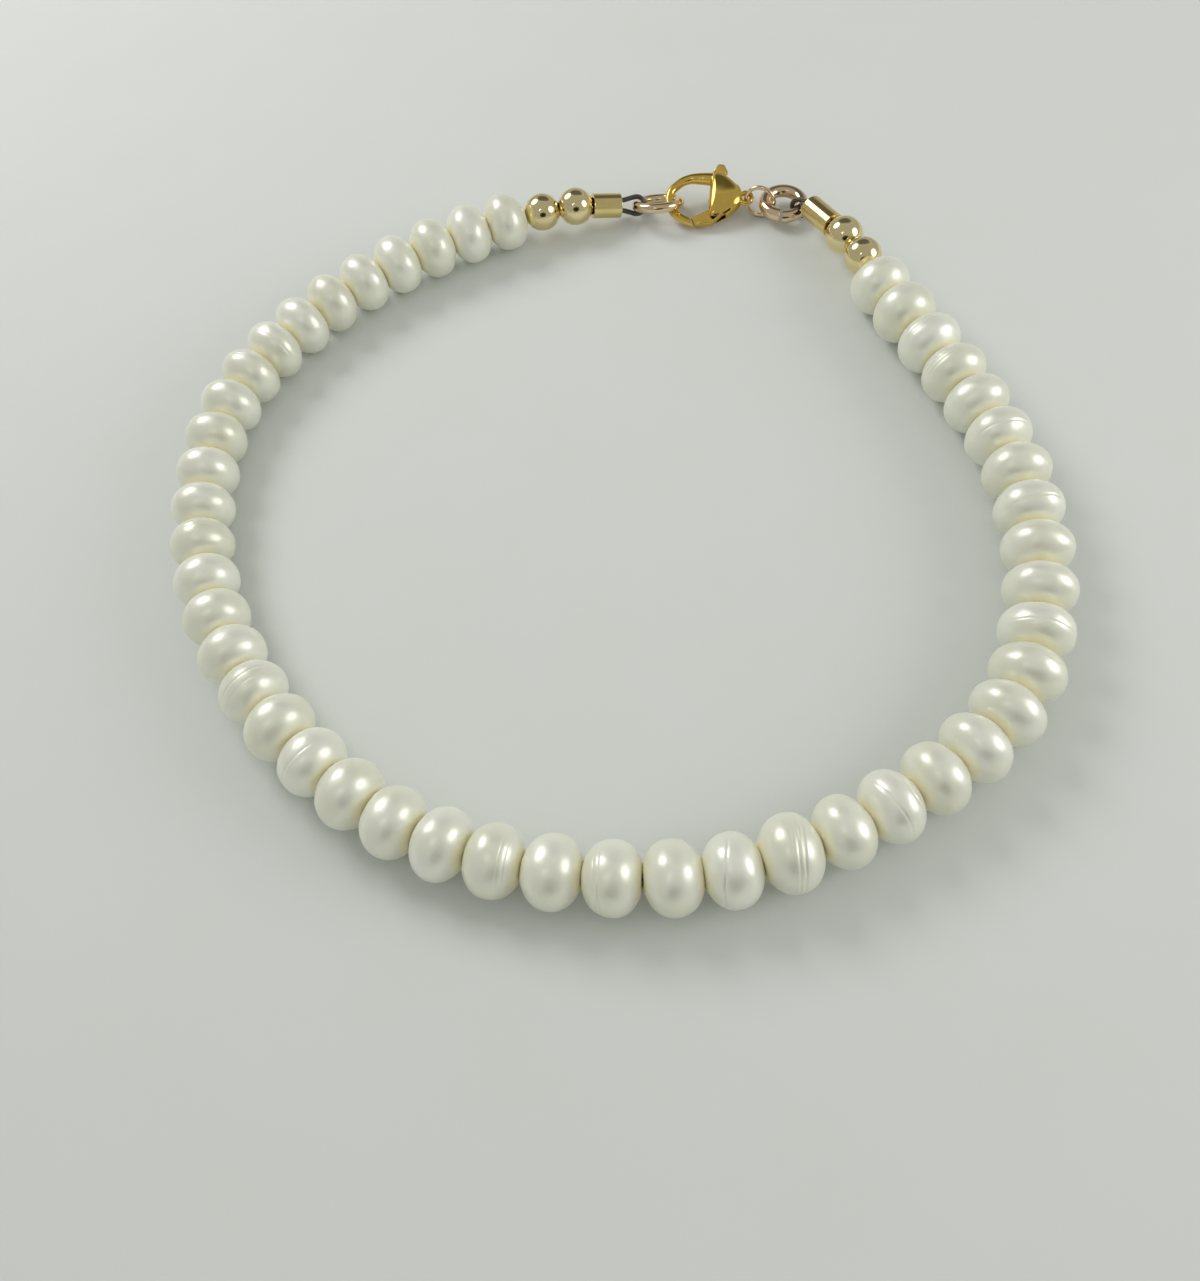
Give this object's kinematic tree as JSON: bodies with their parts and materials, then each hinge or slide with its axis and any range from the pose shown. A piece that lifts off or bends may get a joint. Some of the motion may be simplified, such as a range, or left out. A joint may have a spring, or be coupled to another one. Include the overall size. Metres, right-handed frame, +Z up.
{
  "type": "pearl bracelet",
  "caption": "String of cream freshwater pearls on beading wire, closed into a loop by gold beads, crimp tubes, rings and a lobster clasp.",
  "frame": {"origin": "on the table below the middle of the loop's plan box", "axes": "+Z up from the table, +Y across the loop from the plain side to the clasp side, +X to the right"},
  "size_m": [0.0616, 0.064, 0.0048],
  "materials": {
    "pearl": "lustrous nacre",
    "gold": "polished",
    "wire": "satin coating"
  },
  "bodies": {
    "bracelet": {"pearl_01": "pearl", "pearl_02": "pearl", "pearl_03": "pearl", "pearl_04": "pearl", "pearl_05": "pearl", "pearl_06": "pearl", "pearl_07": "pearl", "pearl_08": "pearl", "pearl_09": "pearl", "pearl_10": "pearl", "pearl_11": "pearl", "pearl_12": "pearl", "pearl_13": "pearl", "pearl_14": "pearl", "pearl_15": "pearl", "pearl_16": "pearl", "pearl_17": "pearl", "pearl_18": "pearl", "pearl_19": "pearl", "pearl_20": "pearl", "pearl_21": "pearl", "pearl_22": "pearl", "pearl_23": "pearl", "pearl_24": "pearl", "pearl_25": "pearl", "pearl_26": "pearl", "pearl_27": "pearl", "pearl_28": "pearl", "pearl_29": "pearl", "pearl_30": "pearl", "pearl_31": "pearl", "pearl_32": "pearl", "pearl_33": "pearl", "pearl_34": "pearl", "pearl_35": "pearl", "pearl_36": "pearl", "pearl_37": "pearl", "pearl_38": "pearl", "pearl_39": "pearl", "pearl_40": "pearl", "pearl_41": "pearl", "pearl_42": "pearl", "pearl_43": "pearl", "pearl_44": "pearl", "pearl_45": "pearl", "pearl_46": "pearl", "gold_bead_1": "gold", "gold_bead_2": "gold", "gold_bead_3": "gold", "gold_bead_4": "gold", "crimp_tube_left": "gold", "crimp_tube_right": "gold", "closed_ring": "gold", "jump_ring": "gold", "clasp_tail_ring": "gold", "clasp_body": "gold", "beading_wire": "wire"},
    "lever": {"clasp_lever": "gold"}
  },
  "joints": [
    {"name": "lever_pivot", "type": "hinge", "parent": "bracelet", "child": "lever", "pos_m": [0.01482, 0.02825, 0.00119], "axis": [0.1028, 0.3262, -0.9397], "range_deg": [0, 20], "stiffness_Nm_per_rad": 0.002, "springref_deg": -20.05}
  ]
}
